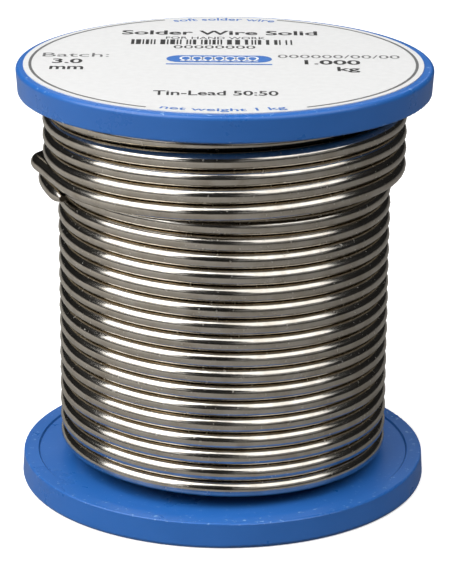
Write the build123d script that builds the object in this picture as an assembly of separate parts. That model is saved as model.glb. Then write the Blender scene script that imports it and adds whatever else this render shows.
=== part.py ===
from build123d import *
import math
import os

# Solder wire reel, millimetres, +Z along the spindle axis. Origin: centre of the bottom rim, on the
# plane that the reel stands on. Two equal flange mouldings are pressed into a plain, hollow barrel
# tube. Four full layers of 3 mm wire and five turns of a fifth are wound on the barrel.
# A round paper label is glued over the outer face of the upper flange and closes the bore there.

# overall
reel_height = 78.6
flange_r = 37.5
label_thickness = 0.15
label_r = 35.9

# flange moulding
rim_height = 4.8
rim_width = 2.9
rim_draft = 0.25
rim_outer_round = 0.8
rim_inner_round = 0.3
step_height = 0.3
web_thickness = 2.2
rib_count = 8
rib_thickness = 1.6
bore_r = 8.1
bore_chamfer = 0.5
hub_wall = 2.2
spigot_length = 5.0
spigot_wall = 2.0
spigot_clearance = 0.05

# barrel
barrel_r = 19.45
barrel_wall = 2.0

# wire
wire_d = 3.0
pitch = 3.04
layer_step = 2.6
turns_per_layer = 22
full_layers = 4
outer_turns = 5
first_layer_r = 21.0
first_turn_z = 7.79
side_shift = 0.76
valley_depth = 1.1
layer_gap = 0.05

# worked out from the above
shell_height = reel_height - label_thickness
web_face = rim_height - step_height
rib_height = web_face - web_thickness
hub_r = bore_r + hub_wall
spigot_r = barrel_r - barrel_wall - spigot_clearance
wire_r = wire_d / 2
last_layer_r = first_layer_r + (full_layers - 1) * layer_step
outer_layer_r = last_layer_r + layer_step
last_turn_z = first_turn_z + (turns_per_layer - 1) * pitch
winding_bottom = first_turn_z - side_shift - wire_r
winding_top = last_turn_z + side_shift + wire_r

os.makedirs("parts", exist_ok=True)


def save(shape, node):
    export_step(shape, f"parts/{node}.step")


def turned(outline):
    """Solid of revolution about Z from a closed outline in the XZ plane."""
    return revolve(Plane.XZ * make_face(outline), Axis.Z)


def quarter(centre, radius, start_angle):
    """A quarter circle, run counter-clockwise from start_angle."""
    return CenterArc(centre, radius, start_angle, 90)


# flange moulding, with its outer face at z = 0 and its spigot pointing up

def flange_outline():
    rim_inside = flange_r - rim_width
    foot_r = flange_r - rim_outer_round
    lip_r = flange_r - rim_draft
    lip_top = rim_height - rim_inner_round
    lip_flat_r = lip_r - rim_inner_round
    ring_r = rim_inside - step_height
    spigot_top = web_face + spigot_length
    spigot_inside = spigot_r - spigot_wall
    mouth_r = bore_r + bore_chamfer
    edges = Curve() + Polyline((mouth_r, 0), (hub_r, 0), (hub_r, rib_height), (rim_inside, rib_height))
    edges += Polyline((rim_inside, rib_height), (rim_inside, 0), (foot_r, 0))
    edges += quarter((foot_r, rim_outer_round), rim_outer_round, -90)
    edges += Line((flange_r, rim_outer_round), (lip_r, lip_top))
    edges += quarter((lip_flat_r, lip_top), rim_inner_round, 0)
    edges += Polyline((lip_flat_r, rim_height), (rim_inside, rim_height), (ring_r, web_face))
    edges += Polyline((ring_r, web_face), (spigot_r, web_face), (spigot_r, spigot_top))
    edges += Polyline((spigot_r, spigot_top), (spigot_inside, spigot_top), (spigot_inside, web_face))
    edges += Polyline((spigot_inside, web_face), (bore_r, web_face), (bore_r, bore_chamfer), (mouth_r, 0))
    return edges


def rib(angle):
    """One radial rib in the recess of the outer face, let into the hub and the rim."""
    start = hub_r - hub_wall / 2
    end = flange_r - rim_width / 2
    centre = (start + end) / 2
    block = Pos(centre, 0, rib_height / 2) * Box(end - start, rib_thickness, rib_height)
    return Rot(0, 0, angle) * block


def flange():
    body = turned(flange_outline())
    for index in range(rib_count):
        body += rib(index * 360 / rib_count)
    return body


def barrel():
    length = shell_height - 2 * web_face
    tube = Cylinder(barrel_r, length) - Cylinder(barrel_r - barrel_wall, length)
    return Pos(0, 0, shell_height / 2) * tube


def label():
    return Pos(0, 0, shell_height + label_thickness / 2) * Cylinder(label_r, label_thickness)


# wire: one closed sleeve for each layer of turns, and a tube for the loose end

def plain_sleeve(layer):
    """A covered layer, from the layer or barrel below it to the layer above it."""
    outer = first_layer_r + layer * layer_step + layer_step / 2
    inner = outer - layer_step
    if layer == 0:
        inner = first_layer_r - wire_r
    height = winding_top - winding_bottom
    sleeve = Cylinder(outer, height) - Cylinder(inner, height)
    return Pos(0, 0, (winding_bottom + winding_top) / 2) * sleeve


def ridged_sleeve(inner_r, turn_r, lowest_z, turns):
    """A layer that shows: round ridges, one for each turn, over a plain bore."""
    valley_r = turn_r + wire_r - valley_depth
    half_chord = math.sqrt(wire_r**2 - (valley_r - turn_r) ** 2)
    bottom = lowest_z - wire_r
    top = lowest_z + (turns - 1) * pitch + wire_r
    edges = Curve() + Polyline((inner_r, top), (inner_r, bottom), (valley_r, bottom))
    edge_z = bottom
    for index in range(turns):
        turn_z = lowest_z + index * pitch
        start = (valley_r, turn_z - half_chord)
        end = (valley_r, turn_z + half_chord)
        edges += Line((valley_r, edge_z), start)
        edges += ThreePointArc(start, (turn_r + wire_r, turn_z), end)
        edge_z = turn_z + half_chord
    edges += Polyline((valley_r, edge_z), (valley_r, top), (inner_r, top))
    return turned(edges)


def last_full_layer():
    return ridged_sleeve(last_layer_r - layer_step / 2, last_layer_r, first_turn_z, turns_per_layer)


def outer_layer():
    lowest = last_turn_z - (outer_turns - 1) * pitch
    inner = last_layer_r + wire_r + layer_gap
    return ridged_sleeve(inner, outer_layer_r, lowest, outer_turns)


# loose end: angle about the axis in degrees, distance from the axis and height. It runs on from the
# lowest outer turn, is folded back on itself behind the reel and ends under that turn.
tail_points = [
    (-157, 34.9, 59.4), (-167, 34.8, 59.2), (-177, 34.9, 59.2), (-187, 34.8, 59.1), (-197, 34.8, 59.3),
    (-206, 34.8, 59.3), (-213.5, 34.8, 59.1), (-220.5, 34.7, 57.3), (-223.5, 33.7, 53.4),
    (-220.5, 32.5, 49.6), (-213, 32.0, 47.9), (-205.5, 32.0, 48.8), (-198, 32.0, 51.2),
    (-190, 32.0, 54.0), (-182, 32.1, 55.8), (-173, 32.0, 56.2), (-162, 32.0, 56.0), (-151, 31.95, 56.2),
]


def tail():
    points = []
    for angle, radius, height in tail_points:
        turn = math.radians(angle)
        points.append(Vector(radius * math.cos(turn), radius * math.sin(turn), height))
    radii = []
    for before, corner, after in zip(points, points[1:], points[2:]):
        first_run = corner - before
        next_run = after - corner
        half_turn = math.radians(first_run.get_angle(next_run) / 2)
        radii.append(0.45 * min(first_run.length, next_run.length) / math.tan(half_turn))
    print("loose end radii", [round(radius, 1) for radius in radii])
    path = FilletPolyline(*points, radius=radii)
    section = Plane(origin=points[0], z_dir=points[1] - points[0]) * Circle(wire_r)
    tube = sweep(section, path=path)
    print("loose end volume over section times length", tube.volume / (section.area * path.length))
    return tube


lower = flange()
save(lower, "flange_lower")
save(Pos(0, 0, shell_height) * Rot(180, 0, 0) * lower, "flange_upper")
save(barrel(), "barrel_tube")
save(label(), "label_disc")
for layer in range(full_layers - 1):
    save(plain_sleeve(layer), f"wire_layer_{layer + 1}")
save(last_full_layer(), f"wire_layer_{full_layers}")
save(outer_layer(), "wire_outer_turns")
save(tail(), "wire_loose_end")
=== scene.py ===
import bpy
import math
import random
from mathutils import Matrix, Vector, noise


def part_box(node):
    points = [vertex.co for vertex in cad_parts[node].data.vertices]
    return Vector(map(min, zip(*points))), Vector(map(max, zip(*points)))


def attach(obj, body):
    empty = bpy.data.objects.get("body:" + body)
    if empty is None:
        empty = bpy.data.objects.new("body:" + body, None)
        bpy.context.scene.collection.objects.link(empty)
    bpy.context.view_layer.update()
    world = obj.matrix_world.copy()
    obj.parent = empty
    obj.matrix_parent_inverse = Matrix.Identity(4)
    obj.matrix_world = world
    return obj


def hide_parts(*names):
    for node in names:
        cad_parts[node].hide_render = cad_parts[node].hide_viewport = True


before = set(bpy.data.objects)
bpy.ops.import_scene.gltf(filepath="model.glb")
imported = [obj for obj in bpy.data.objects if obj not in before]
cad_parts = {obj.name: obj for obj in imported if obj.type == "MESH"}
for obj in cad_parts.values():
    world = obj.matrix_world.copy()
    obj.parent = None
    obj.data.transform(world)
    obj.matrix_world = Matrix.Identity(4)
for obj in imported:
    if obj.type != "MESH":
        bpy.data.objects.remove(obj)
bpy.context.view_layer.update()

# Camera: a long lens a little under half a metre away, looking slightly down on the standing reel, so
# that the whole label and the full height of the winding are in view.
camera_aim = Vector((0.00024, 0.0, 0.0368))
camera_distance = 0.4858
camera_elevation = math.radians(18.6)
camera_roll = math.radians(0.345)

camera_data = bpy.data.cameras.new("camera")
camera_data.lens = 167.9
camera_data.sensor_width = 36.0
camera = bpy.data.objects.new("camera", camera_data)
bpy.context.collection.objects.link(camera)
camera_back = Vector((0.0, -math.cos(camera_elevation), math.sin(camera_elevation)))
camera_place = Matrix.Translation(camera_aim + camera_back * camera_distance)
camera_tilt = Matrix.Rotation(math.pi / 2 - camera_elevation, 4, "X")
camera.matrix_world = camera_place @ camera_tilt @ Matrix.Rotation(camera_roll, 4, "Z")
bpy.context.scene.camera = camera

# Solder wire: one continuous length of drawn tin-lead, 3 mm thick, wound clockwise seen from the label
# in four layers and five turns of a fifth. Each turn lies level but for two short stretches, one at the
# front and one at the back, where it steps along the reel. The cut end is folded back on itself.
wire_diameter = 0.003
wire_pitch = 0.00304
layer_step = 0.0026
first_layer_radius = 0.021
full_layers = 4
turns_per_layer = 22
outer_turns = 5
lowest_turn_height = 0.00755
front_step = 0.00115
back_step = wire_pitch - front_step
# the covered layers sit this much lower, clear of the upper flange
covered_drop = 0.00012
# a turn rises this far off the ones below it as it steps across them
layer_rise = 0.0001
outer_rise = 0.0006
waver_across = 0.00006
waver_along = 0.00003
points_per_turn = 24
steps_per_layer = 2 * turns_per_layer - 1
step_before = math.radians(25)
step_span = math.radians(130)
step_at_right = math.radians(-5)
highest_turn_height = lowest_turn_height + (turns_per_layer - 1) * wire_pitch + front_step
outer_radius = first_layer_radius + full_layers * layer_step
outer_left_height = 0.07175
outer_front_drop = 0.0008
outer_back_drop = wire_pitch - outer_front_drop
outer_end = math.radians(152)
point_turn = 2 * math.pi / points_per_turn
# a smooth spline cuts inside the polygon of its control points by this much
polygon_factor = 4 / (3 + math.cos(point_turn))

# loose end: angle round the reel in degrees, distance from the axis and height
pinched_radius = 0.0006
loose_end = [
    (-152, 0.0315, 0.0597), (-163.5, 0.0316, 0.0598), (-173.5, 0.0326, 0.0599),
    (-179.9, 0.0341, 0.0599), (-185.2, 0.0326, 0.0597), (-193, 0.0320, 0.0593),
    (-203, 0.0319, 0.0592), (-212, 0.0319, 0.0593), (-220.4, 0.0319, 0.0576),
    (-223.4, 0.0319, 0.0535), (-220.4, 0.0319, 0.0494), (-212.5, 0.0319, 0.0477),
    (-205, 0.0319, 0.0489), (-198, 0.0320, 0.0519), (-190, 0.0321, 0.0555),
    (-182, 0.0325, 0.0570), (-174, 0.0322, 0.0570), (-166, 0.0316, 0.0568),
    (-160, 0.0314, 0.0567), (-156, 0.0314, 0.0566),
]


def steps_taken(turned):
    """Whole half-turn steps made after turning this angle, and the share made of the next one."""
    half_turns = math.floor(turned / math.pi)
    part = (turned - half_turns * math.pi - step_before) / step_span
    part = min(max(part, 0.0), 1.0)
    return half_turns, part * part * (3 - 2 * part)


def placed(index, layer, radius, height):
    """Control point of the winding, with the small unevenness of a real winding."""
    angle = step_at_right - index * point_turn
    radius += waver_across * noise.noise(Vector((index * 0.21, layer * 7.0, 0.0)))
    height += waver_along * noise.noise(Vector((math.cos(angle) * 2, math.sin(angle) * 2, layer * 5.0)))
    reach = radius * polygon_factor
    return Vector((reach * math.cos(angle), reach * math.sin(angle), height))


def hump(part):
    """Nought at both ends of a step and one in its middle."""
    return 4 * part * (1 - part)


def layer_points(layer, turns):
    """Centre line of one full layer, from the right-hand side of the reel round to where it ends."""
    climbs = (full_layers - layer) % 2 == 1
    points = []
    for index in range(turns * points_per_turn):
        whole, part = steps_taken(index * point_turn)
        radius = first_layer_radius + layer * layer_step + layer_rise * layer * hump(part)
        rise = whole // 2 * wire_pitch
        if whole == steps_per_layer:
            radius += layer_step * part
            rise += front_step
        elif whole % 2 == 0:
            rise += front_step * part
        else:
            rise += front_step + back_step * part
        height = lowest_turn_height + rise if climbs else highest_turn_height - rise
        if layer < full_layers - 1:
            height -= covered_drop
        points.append(placed(index, layer, radius, height))
    return points


def outer_points(end_angle):
    """The outer turns: the first climbs out of the layer below at the front, then all work downwards."""
    points = []
    for index in range(int(round(end_angle / point_turn))):
        whole, part = steps_taken(index * point_turn)
        turn = whole // 2
        radius = outer_radius + outer_rise * hump(part)
        left_height = outer_left_height - turn * wire_pitch
        if whole == 0:
            radius = outer_radius - layer_step * (1 - part)
            right_height = highest_turn_height - front_step
            height = right_height + (left_height - right_height) * part
        elif whole % 2 == 0:
            height = left_height + outer_front_drop * (1 - part)
        else:
            height = left_height - outer_back_drop * part
        points.append(placed(index, full_layers, radius, height))
    return points


wire_points = []
for layer in range(full_layers - 1):
    wire_points += layer_points(layer, turns_per_layer)
wire_points += layer_points(full_layers - 1, turns_per_layer - 1)
wire_points += outer_points((outer_turns - 1) * 2 * math.pi + outer_end)
for angle, radius, height in loose_end:
    bearing = math.radians(angle)
    wire_points.append(Vector((radius * math.cos(bearing), radius * math.sin(bearing), height)))

wire_curve = bpy.data.curves.new("solder_wire", "CURVE")
wire_curve.dimensions = "3D"
wire_curve.twist_mode = "Z_UP"
wire_curve.bevel_depth = 1.0
wire_curve.bevel_resolution = 10
wire_curve.resolution_u = 3
wire_curve.use_fill_caps = True
wire_spline = wire_curve.splines.new("NURBS")
wire_spline.points.add(len(wire_points) - 1)
for point, place in zip(wire_spline.points, wire_points):
    point.co = (*place, 1.0)
    point.radius = wire_diameter / 2
# the cut end is pinched by the cutters
wire_spline.points[-1].radius = pinched_radius
wire_spline.order_u = 3
wire_spline.use_endpoint_u = True
wire = bpy.data.objects.new("solder_wire", wire_curve)
bpy.context.collection.objects.link(wire)
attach(wire, "root")
wire_nodes = [f"wire_layer_{number + 1}" for number in range(full_layers)]
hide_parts(*wire_nodes, "wire_outer_turns", "wire_loose_end")


def shader_node(tree, kind, settings=None, **inputs):
    """Add a node; an input is a value or another node's output socket."""
    made = tree.nodes.new(kind)
    for name, value in (settings or {}).items():
        setattr(made, name, value)
    for name, value in inputs.items():
        socket = made.inputs[int(name[1:])] if name[0] == "_" else made.inputs[name.replace("_", " ")]
        if isinstance(value, bpy.types.NodeSocket):
            tree.links.new(value, socket)
        else:
            socket.default_value = value
    return made


def new_material(name):
    made = bpy.data.materials.new(name)
    made.use_nodes = True
    return made, made.node_tree, made.node_tree.nodes["Principled BSDF"]


def new_group(name, inputs, outputs):
    """A shader node group with float, vector or colour sockets."""
    group = bpy.data.node_groups.new(name, "ShaderNodeTree")
    for socket, kind in inputs:
        group.interface.new_socket(socket, in_out="INPUT", socket_type="NodeSocket" + kind)
    for socket, kind in outputs:
        group.interface.new_socket(socket, in_out="OUTPUT", socket_type="NodeSocket" + kind)
    entry = group.nodes.new("NodeGroupInput")
    leave = group.nodes.new("NodeGroupOutput")
    return group, entry.outputs, leave.inputs


def ramp(tree, value, stops):
    """Colour ramp through (position, colour) stops."""
    made = shader_node(tree, "ShaderNodeValToRGB", Fac=value)
    bands = made.color_ramp.elements
    while len(bands) < len(stops):
        bands.new(0.5)
    for band, (position, colour) in zip(bands, stops):
        band.position = position
        band.color = (*colour, 1.0)
    return made.outputs["Color"]


# fine dust and rubbing that every surface of a handled reel carries
rub_group, rub_in, rub_out = new_group(
    "rubbed_patches", [("Scale", "Float"), ("Low", "Float"), ("High", "Float")], [("Mask", "Float")]
)
rub_place = shader_node(rub_group, "ShaderNodeTexCoord")
rub_noise = shader_node(
    rub_group, "ShaderNodeTexNoise", Vector=rub_place.outputs["Object"], Scale=rub_in["Scale"],
    Detail=5.0, Roughness=0.62,
)
rub_range = shader_node(
    rub_group, "ShaderNodeMapRange", Value=rub_noise.outputs["Fac"],
    From_Min=rub_in["Low"], From_Max=rub_in["High"],
)
rub_group.links.new(rub_range.outputs["Result"], rub_out["Mask"])

wire_material, tree, wire_shader = new_material("drawn_tin_lead")
wire_uv = shader_node(tree, "ShaderNodeTexCoord")
draw_map = shader_node(
    tree, "ShaderNodeMapping", Vector=wire_uv.outputs["UV"], Scale=(700.0, 26.0, 1.0),
)
draw_lines = shader_node(
    tree, "ShaderNodeTexNoise", Vector=draw_map.outputs["Vector"], Scale=1.0, Detail=4.0, Roughness=0.6,
)
dull = shader_node(tree, "ShaderNodeGroup", {"node_tree": rub_group}, Scale=260.0, Low=0.42, High=0.72)
bright_colour = ramp(
    tree, dull.outputs["Mask"], [(0.0, (0.62, 0.59, 0.54)), (1.0, (0.48, 0.44, 0.38))]
)
# the grooves between turns, where the wire's surface turns away from the reel's radius, hold tarnish;
# deepest in them the colour is painted shade, near black, where the turns shade each other
wire_flat = shader_node(
    tree, "ShaderNodeVectorMath", {"operation": "MULTIPLY"},
    _0=wire_uv.outputs["Object"], _1=(1.0, 1.0, 0.0),
)
wire_away = shader_node(
    tree, "ShaderNodeVectorMath", {"operation": "NORMALIZE"}, _0=wire_flat.outputs["Vector"],
)
groove_facing = shader_node(
    tree, "ShaderNodeVectorMath", {"operation": "DOT_PRODUCT"}, _0=wire_away.outputs["Vector"],
    _1=wire_uv.outputs["Normal"],
)
tarnish_mask = shader_node(
    tree, "ShaderNodeMapRange", Value=groove_facing.outputs["Value"],
    From_Min=0.60, From_Max=0.30, To_Min=0.0, To_Max=0.6,
)
tarnished = shader_node(
    tree, "ShaderNodeMix", {"data_type": "RGBA"}, _0=tarnish_mask.outputs["Result"],
    _6=bright_colour, _7=(0.50, 0.40, 0.24, 1.0),
)
# painted shade: the base colour goes near black deep in the grooves, where the turns shade each other
groove_shade_mask = shader_node(
    tree, "ShaderNodeMapRange", Value=groove_facing.outputs["Value"],
    From_Min=0.30, From_Max=0.12, To_Min=0.0, To_Max=0.9,
)
wire_colour = shader_node(
    tree, "ShaderNodeMix", {"data_type": "RGBA"}, _0=groove_shade_mask.outputs["Result"],
    _6=tarnished.outputs[2], _7=(0.05, 0.042, 0.03, 1.0),
)
tree.links.new(wire_colour.outputs[2], wire_shader.inputs["Base Color"])
wire_roughness = shader_node(
    tree, "ShaderNodeMapRange", Value=draw_lines.outputs["Fac"],
    From_Min=0.3, From_Max=0.7, To_Min=0.11, To_Max=0.23,
)
# small nicks are duller, so they show as pale specks in the dark parts of a reflection
nick_spots = shader_node(
    tree, "ShaderNodeGroup", {"node_tree": rub_group}, Scale=1300.0, Low=0.655, High=0.70,
)
nicked_roughness = shader_node(
    tree, "ShaderNodeMath", {"operation": "MULTIPLY_ADD"}, _0=nick_spots.outputs["Mask"], _1=0.40,
    _2=wire_roughness.outputs["Result"],
)
tree.links.new(nicked_roughness.outputs["Value"], wire_shader.inputs["Roughness"])
wire_shader.inputs["Metallic"].default_value = 1.0
nick_noise = shader_node(
    tree, "ShaderNodeTexNoise", Vector=wire_uv.outputs["Object"], Scale=900.0, Detail=3.0,
)
draw_height = shader_node(
    tree, "ShaderNodeMath", {"operation": "MULTIPLY_ADD"}, _0=nick_noise.outputs["Fac"], _1=0.5,
    _2=draw_lines.outputs["Fac"],
)
wire_bump = shader_node(
    tree, "ShaderNodeBump", Height=draw_height.outputs["Value"], Strength=0.35, Distance=0.00004,
)
tree.links.new(wire_bump.outputs["Normal"], wire_shader.inputs["Normal"])
wire_curve.materials.append(wire_material)

# Reel: two equal flange mouldings and a barrel tube in blue polystyrene, satin from the mould, with
# the gloss rubbed off the rims by handling. The flanges' spigots are pressed into the barrel.
reel_material, tree, reel_shader = new_material("blue_polystyrene")
reel_place = shader_node(tree, "ShaderNodeTexCoord")
reel_rub = shader_node(tree, "ShaderNodeGroup", {"node_tree": rub_group}, Scale=90.0, Low=0.35, High=0.75)
reel_colour = ramp(
    tree, reel_rub.outputs["Mask"], [(0.0, (0.022, 0.142, 0.49)), (1.0, (0.029, 0.158, 0.53))]
)
# the sharp edges of the rims are nicked and worn pale
reel_middle_height = 0.03925
rim_from_middle = 0.03675
wear_starts = 0.00190
wear_full = 0.00220
rim_level = shader_node(tree, "ShaderNodeSeparateXYZ", Vector=reel_place.outputs["Object"])
from_middle = shader_node(
    tree, "ShaderNodeMath", {"operation": "SUBTRACT"}, _0=rim_level.outputs["Z"], _1=reel_middle_height,
)
either_flange = shader_node(
    tree, "ShaderNodeMath", {"operation": "ABSOLUTE"}, _0=from_middle.outputs["Value"],
)
from_rim = shader_node(
    tree, "ShaderNodeMath", {"operation": "SUBTRACT"},
    _0=either_flange.outputs["Value"], _1=rim_from_middle,
)
either_edge = shader_node(
    tree, "ShaderNodeMath", {"operation": "ABSOLUTE"}, _0=from_rim.outputs["Value"],
)
edge_mask = shader_node(
    tree, "ShaderNodeMapRange", Value=either_edge.outputs["Value"],
    From_Min=wear_starts, From_Max=wear_full,
)
nick_patches = shader_node(
    tree, "ShaderNodeGroup", {"node_tree": rub_group}, Scale=900.0, Low=0.62, High=0.66,
)
nick_mask = shader_node(
    tree, "ShaderNodeMath", {"operation": "MULTIPLY"}, _0=edge_mask.outputs["Result"],
    _1=nick_patches.outputs["Mask"],
)
worn_colour = shader_node(
    tree, "ShaderNodeMix", {"data_type": "RGBA"}, _0=nick_mask.outputs["Value"],
    _6=reel_colour, _7=(0.20, 0.38, 0.70, 1.0),
)
tree.links.new(worn_colour.outputs[2], reel_shader.inputs["Base Color"])
reel_roughness = shader_node(
    tree, "ShaderNodeMapRange", Value=reel_rub.outputs["Mask"], To_Min=0.26, To_Max=0.38,
)
tree.links.new(reel_roughness.outputs["Result"], reel_shader.inputs["Roughness"])
mould_grain = shader_node(
    tree, "ShaderNodeTexNoise", Vector=reel_place.outputs["Object"], Scale=1500.0, Detail=3.0,
)
mould_bump = shader_node(
    tree, "ShaderNodeBump", Height=mould_grain.outputs["Fac"], Strength=0.12, Distance=0.00005,
)
tree.links.new(mould_bump.outputs["Normal"], reel_shader.inputs["Normal"])
for node in ("flange_lower", "flange_upper", "barrel_tube"):
    reel_part = bpy.data.objects[node]
    for material_slot in reel_part.material_slots:
        material_slot.material = reel_material

# Label: a round of white coated paper glued over the whole outer face of the upper flange. Its print is
# thin ink: a grey ring, black lines of plain words and figures, a bar pattern and a blue coil.
label_low, label_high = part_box("label_disc")
label_top = label_high[2]
label_radius = (label_high[0] - label_low[0]) / 2
label_shift = -0.00025
ink_lift = 0.00002

label_mesh = bpy.data.meshes.new("label")
label_rings = 24
label_segments = 192
label_vertices = [(label_shift, 0.0, label_top)]
for ring in range(1, label_rings + 1):
    ring_radius = label_radius * ring / label_rings
    for segment in range(label_segments):
        angle = 2 * math.pi * segment / label_segments
        x = label_shift + ring_radius * math.cos(angle)
        y = ring_radius * math.sin(angle)
        label_vertices.append((x, y, label_top))
for segment in range(label_segments):
    x, y, _ = label_vertices[1 + (label_rings - 1) * label_segments + segment]
    label_vertices.append((x, y, label_low[2]))
label_faces = []
for segment in range(label_segments):
    label_faces.append((0, 1 + segment, 1 + (segment + 1) % label_segments))
for ring in range(label_rings):
    inner = 1 + ring * label_segments
    outer = inner + label_segments
    for segment in range(label_segments):
        after = (segment + 1) % label_segments
        label_faces.append((inner + segment, outer + segment, outer + after, inner + after))
label_mesh.from_pydata(label_vertices, [], label_faces)
label = bpy.data.objects.new("label", label_mesh)
bpy.context.collection.objects.link(label)
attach(label, "root")
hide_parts("label_disc")

paper_material, tree, paper_shader = new_material("coated_paper")
paper_place = shader_node(tree, "ShaderNodeTexCoord")
paper_fibre = shader_node(
    tree, "ShaderNodeTexNoise", Vector=paper_place.outputs["Object"], Scale=700.0, Detail=6.0,
)
paper_colour = ramp(
    tree, paper_fibre.outputs["Fac"], [(0.3, (0.72, 0.72, 0.715)), (0.7, (0.76, 0.76, 0.755))]
)
tree.links.new(paper_colour, paper_shader.inputs["Base Color"])
paper_shader.inputs["Roughness"].default_value = 0.55
paper_bump = shader_node(
    tree, "ShaderNodeBump", Height=paper_fibre.outputs["Fac"], Strength=0.15, Distance=0.00003,
)
tree.links.new(paper_bump.outputs["Normal"], paper_shader.inputs["Normal"])
label_mesh.materials.append(paper_material)


def ink_material(name, colour, thin_colour):
    """Printing ink on coated paper, a little uneven where the paper shows through."""
    made, tree, shader = new_material(name)
    ink_patch = shader_node(
        tree, "ShaderNodeGroup", {"node_tree": rub_group}, Scale=1400.0, Low=0.45, High=0.8,
    )
    ink_colour = ramp(tree, ink_patch.outputs["Mask"], [(0.0, colour), (1.0, thin_colour)])
    tree.links.new(ink_colour, shader.inputs["Base Color"])
    shader.inputs["Roughness"].default_value = 0.5
    return made


black_ink = ink_material("black_ink", (0.018, 0.018, 0.018), (0.05, 0.05, 0.05))
grey_ink = ink_material("grey_ink", (0.13, 0.13, 0.13), (0.20, 0.20, 0.20))
white_ink = ink_material("white_ink", (0.86, 0.86, 0.86), (0.90, 0.90, 0.90))
blue_ink = ink_material("blue_ink", (0.035, 0.16, 0.52), (0.07, 0.22, 0.58))


def add_print(name, vertices, faces, ink, layer=1):
    """A flat printed shape on the label, from points in the label's plane."""
    mesh = bpy.data.meshes.new(name)
    lifted = [(label_shift + x, y, label_top + layer * ink_lift) for x, y in vertices]
    mesh.from_pydata(lifted, [], faces)
    mesh.materials.append(ink)
    made = bpy.data.objects.new(name, mesh)
    bpy.context.collection.objects.link(made)
    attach(made, "root")
    return made


def print_words(name, words, centre, width, height, weight, ink, arc=0.0):
    """Words set to a width and a height about a centre; arc bends them round the label's centre."""
    text = bpy.data.curves.new(name, "FONT")
    text.body = words
    text.offset = weight
    text.resolution_u = 4
    text.fill_mode = "FRONT"
    setter = bpy.data.objects.new(name, text)
    bpy.context.collection.objects.link(setter)
    mesh = bpy.data.meshes.new_from_object(setter)
    bpy.data.objects.remove(setter)
    places = [vertex.co.copy() for vertex in mesh.vertices]
    faces = [tuple(face.vertices) for face in mesh.polygons]
    low_x = min(place.x for place in places)
    high_x = max(place.x for place in places)
    low_y = min(place.y for place in places)
    high_y = max(place.y for place in places)
    flat = []
    for place in places:
        x = (place.x - (low_x + high_x) / 2) * width / (high_x - low_x)
        y = (place.y - (low_y + high_y) / 2) * height / (high_y - low_y)
        if arc:
            turn = x / abs(arc)
            reach = abs(arc) + (y if arc > 0 else -y)
            flat.append((reach * math.sin(turn), math.copysign(reach * math.cos(turn), arc)))
        else:
            flat.append((centre[0] + x, centre[1] + y))
    return add_print(name, flat, faces, ink)


print_words("print_title", "Solder Wire Solid", (-0.0008, 0.0224), 0.0365, 0.0034, 0.02, black_ink)
print_words("print_use", "FOR HAND WORK", (-0.0015, 0.0182), 0.0185, 0.0018, 0.0, black_ink)
print_words("print_digits", "00000000", (-0.0017, 0.0110), 0.0150, 0.0022, 0.0, black_ink)
print_words("print_batch", "Batch:", (-0.0267, 0.0044), 0.0120, 0.0028, 0.0, grey_ink)
print_words("print_batch_digits", "000000/00/00", (0.0208, 0.0041), 0.0220, 0.0024, 0.0, grey_ink)
print_words("print_thickness", "3.0", (-0.0280, -0.0002), 0.0054, 0.0033, 0.02, black_ink)
print_words("print_thickness_unit", "mm", (-0.0279, -0.0052), 0.0060, 0.0023, 0.02, black_ink)
print_words("print_weight", "1.000", (0.0195, -0.0002), 0.0100, 0.0033, 0.02, black_ink)
print_words("print_weight_unit", "kg", (0.0222, -0.0056), 0.0040, 0.0040, 0.02, black_ink)
print_words("print_alloy", "Tin-Lead 50:50", (-0.0013, -0.0226), 0.0215, 0.0032, 0.015, black_ink)
print_words("print_top", "soft solder wire", (0, 0), 0.0196, 0.0022, 0.012, blue_ink, arc=0.0337)
print_words("print_foot", "net weight 1 kg", (0, 0), 0.0215, 0.0024, 0.012, blue_ink, arc=-0.0340)


def arc_band(name, inner, outer, start, end, ink):
    """Part of a flat ring between two angles in degrees."""
    count = 96
    vertices = []
    for index in range(count + 1):
        turn = math.radians(start + (end - start) * index / count)
        vertices.append((inner * math.cos(turn), inner * math.sin(turn)))
        vertices.append((outer * math.cos(turn), outer * math.sin(turn)))
    faces = [(2 * i, 2 * i + 1, 2 * i + 3, 2 * i + 2) for i in range(count)]
    return add_print(name, vertices, faces, ink)


arc_band("print_ring_left", 0.03440, 0.03492, 109, 248, grey_ink)
arc_band("print_ring_right", 0.03440, 0.03492, -66, 73, grey_ink)

bar_random = random.Random(7)
bar_left = -0.0171
bar_right = 0.0134
bar_low = 0.0130
bar_high = 0.0168
bar_unit = 0.00030
bar_vertices = []
bar_faces = []
bar_x = bar_left
while bar_x < bar_right:
    bar_width = bar_unit * bar_random.choice((1, 1, 2, 3))
    corner = len(bar_vertices)
    bar_vertices += [(bar_x, bar_low), (bar_x + bar_width, bar_low)]
    bar_vertices += [(bar_x + bar_width, bar_high), (bar_x, bar_high)]
    bar_faces.append((corner, corner + 1, corner + 2, corner + 3))
    bar_x += bar_width + bar_unit * bar_random.choice((1, 1, 2, 3))
add_print("print_bars", bar_vertices, bar_faces, black_ink)

# the blue mark is a plain round-ended bar with a coil of wire left white in it, over a thin rule
badge_centre = (-0.0008, 0.0019)
badge_half_width = 0.0095
badge_half_height = 0.0026
badge_outline = []
for index in range(48):
    turn = 2 * math.pi * index / 48
    end = math.copysign(badge_half_width - badge_half_height, math.cos(turn))
    x = badge_centre[0] + end + badge_half_height * math.cos(turn)
    badge_outline.append((x, badge_centre[1] + badge_half_height * math.sin(turn)))
add_print("print_badge", badge_outline, [tuple(range(48))], blue_ink)
rule_low = badge_centre[1] - badge_half_height - 0.0017
rule_left = badge_centre[0] - badge_half_width
rule_right = badge_centre[0] + badge_half_width
rule = [(rule_left, rule_low), (rule_right, rule_low), (rule_right, rule_low + 0.0007)]
rule.append((rule_left, rule_low + 0.0007))
add_print("print_rule", rule, [(0, 1, 2, 3)], blue_ink)

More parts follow.
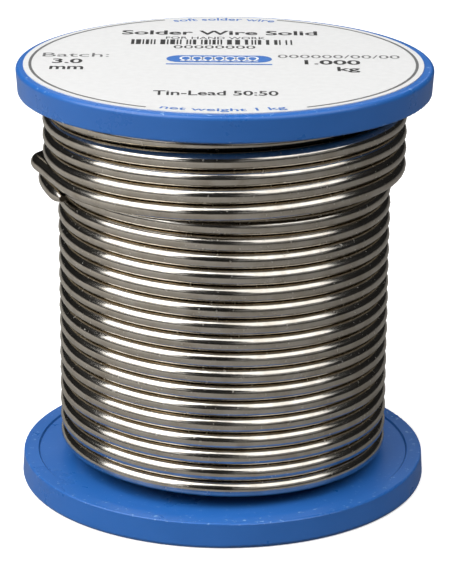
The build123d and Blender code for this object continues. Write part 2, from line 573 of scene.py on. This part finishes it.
coil_loops = 7
coil_half_width = 0.0070
coil_height = 0.0016
coil_sway = 0.0014
coil_line = 0.00022
coil_steps = 40 * coil_loops
coil_path = []
for index in range(coil_steps + 1):
    turn = 2 * math.pi * coil_loops * index / coil_steps
    x = badge_centre[0] + coil_half_width * (2 * index / coil_steps - 1) + coil_sway * math.sin(turn)
    coil_path.append(Vector((x, badge_centre[1] - coil_height * math.cos(turn))))
coil_vertices = []
for index, place in enumerate(coil_path):
    along = coil_path[min(index + 1, coil_steps)] - coil_path[max(index - 1, 0)]
    across = Vector((-along.y, along.x)).normalized() * coil_line
    coil_vertices += [tuple(place - across), tuple(place + across)]
coil_faces = [(2 * i, 2 * i + 1, 2 * i + 3, 2 * i + 2) for i in range(coil_steps)]
add_print("print_coil", coil_vertices, coil_faces, white_ink, layer=2)

# Studio: a pale paper floor with a round paper backdrop, and two large softboxes that lean over the
# reel. The walls below them catch a little of their light; the rest of the room is dark.
floor_size = 3.0
floor_mesh = bpy.data.meshes.new("floor")
floor_corners = [(-floor_size, -floor_size, 0), (floor_size, -floor_size, 0)]
floor_corners += [(floor_size, floor_size, 0), (-floor_size, floor_size, 0)]
floor_mesh.from_pydata(floor_corners, [], [(0, 1, 2, 3)])
floor = bpy.data.objects.new("floor", floor_mesh)
bpy.context.collection.objects.link(floor)
floor_material, tree, floor_shader = new_material("pale_paper_floor")
floor_place = shader_node(tree, "ShaderNodeTexCoord")
floor_noise = shader_node(
    tree, "ShaderNodeTexNoise", Vector=floor_place.outputs["Object"], Scale=6.0, Detail=3.0,
)
floor_colour = ramp(
    tree, floor_noise.outputs["Fac"], [(0.3, (0.90, 0.90, 0.90)), (0.7, (0.93, 0.93, 0.93))]
)
# painted shade: the floor that reflections see is paler to the left and darker to the right, as if the
# light fell from the left
floor_across = shader_node(tree, "ShaderNodeSeparateXYZ", Vector=floor_place.outputs["Object"])
floor_shade = shader_node(
    tree, "ShaderNodeMapRange", Value=floor_across.outputs["X"], From_Min=-0.25, From_Max=0.10,
)
painted_floor_shading = ramp(
    tree, floor_shade.outputs["Result"], [(0.0, (0.42, 0.40, 0.365)), (1.0, (0.21, 0.20, 0.185))]
)
# the wire mirrors a dimmer floor than the one seen directly, with painted shade darker to the right
floor_path = shader_node(tree, "ShaderNodeLightPath")
floor_seen = shader_node(
    tree, "ShaderNodeMix", {"data_type": "RGBA"}, _0=floor_path.outputs["Is Camera Ray"],
    _6=painted_floor_shading, _7=floor_colour,
)
tree.links.new(floor_seen.outputs[2], floor_shader.inputs["Base Color"])
floor_glow = shader_node(
    tree, "ShaderNodeMix", {"data_type": "RGBA"}, _0=floor_path.outputs["Is Camera Ray"],
    _6=(0.0, 0.0, 0.0, 1.0), _7=(0.60, 0.60, 0.60, 1.0),
)
tree.links.new(floor_glow.outputs[2], floor_shader.inputs["Emission Color"])
floor_shader.inputs["Emission Strength"].default_value = 1.0
floor_shader.inputs["Roughness"].default_value = 0.9
floor_mesh.materials.append(floor_material)

# a round paper backdrop closes the far edge of the floor
backdrop_radius = 2.9
backdrop_height = 3.0
backdrop_sides = 64
backdrop_corners = []
for index in range(backdrop_sides):
    turn = 2 * math.pi * index / backdrop_sides
    x = backdrop_radius * math.cos(turn)
    y = backdrop_radius * math.sin(turn)
    backdrop_corners += [(x, y, 0.0), (x, y, backdrop_height)]
backdrop_faces = []
for index in range(backdrop_sides):
    low = 2 * index
    after = 2 * ((index + 1) % backdrop_sides)
    backdrop_faces.append((after, low, low + 1, after + 1))
backdrop_mesh = bpy.data.meshes.new("backdrop")
backdrop_mesh.from_pydata(backdrop_corners, [], backdrop_faces)
backdrop = bpy.data.objects.new("backdrop", backdrop_mesh)
bpy.context.collection.objects.link(backdrop)
backdrop_material, tree, backdrop_shader = new_material("pale_paper_backdrop")
backdrop_place = shader_node(tree, "ShaderNodeTexCoord")
backdrop_noise = shader_node(
    tree, "ShaderNodeTexNoise", Vector=backdrop_place.outputs["Object"], Scale=4.0, Detail=3.0,
)
backdrop_pale = ramp(
    tree, backdrop_noise.outputs["Fac"], [(0.3, (0.80, 0.80, 0.80)), (0.7, (0.84, 0.84, 0.84))]
)
backdrop_path = shader_node(tree, "ShaderNodeLightPath")
backdrop_glow = shader_node(
    tree, "ShaderNodeMix", {"data_type": "RGBA"}, _0=backdrop_path.outputs["Is Camera Ray"],
    _6=(0.012, 0.012, 0.012, 1.0), _7=backdrop_pale,
)
tree.links.new(backdrop_glow.outputs[2], backdrop_shader.inputs["Emission Color"])
backdrop_shader.inputs["Emission Strength"].default_value = 1.0
backdrop_shader.inputs["Base Color"].default_value = (0.01, 0.01, 0.01, 1.0)
backdrop_shader.inputs["Roughness"].default_value = 0.95
backdrop_mesh.materials.append(backdrop_material)


def softbox(name, bearing, elevation, distance, width, height, radiance):
    """A rectangular light tilted to face the reel; bearing 0 is at the camera, positive right."""
    light = bpy.data.lights.new(name, "AREA")
    light.shape = "RECTANGLE"
    light.size = width
    light.size_y = height
    light.energy = radiance * math.pi * width * height
    lamp = bpy.data.objects.new(name, light)
    bpy.context.collection.objects.link(lamp)
    turn = math.radians(bearing)
    tilt = math.radians(elevation)
    away = Vector((math.cos(tilt) * math.sin(turn), -math.cos(tilt) * math.cos(turn), math.sin(tilt)))
    lamp.location = away * distance + Vector((0.0, 0.0, 0.04))
    lamp.rotation_euler = away.to_track_quat("Z", "Y").to_euler()


softbox("softbox_left", -64, 49, 0.8, 0.84, 0.80, 4.0)
softbox("softbox_right", 55, 52, 0.8, 0.84, 0.76, 1.9)
softbox("wall_left", -58, 17, 1.2, 1.50, 0.36, 0.85)
softbox("wall_right", 42, 17, 1.2, 1.50, 0.36, 0.26)
softbox("softbox_back", 180, 42, 2.1, 1.6, 1.1, 1.1)

world = bpy.data.worlds.new("dark_room")
world.use_nodes = True
world.node_tree.nodes["Background"].inputs["Color"].default_value = (0.012, 0.012, 0.012, 1.0)
bpy.context.scene.world = world
bpy.context.scene.view_settings.view_transform = "Standard"

bpy.context.view_layer.update()
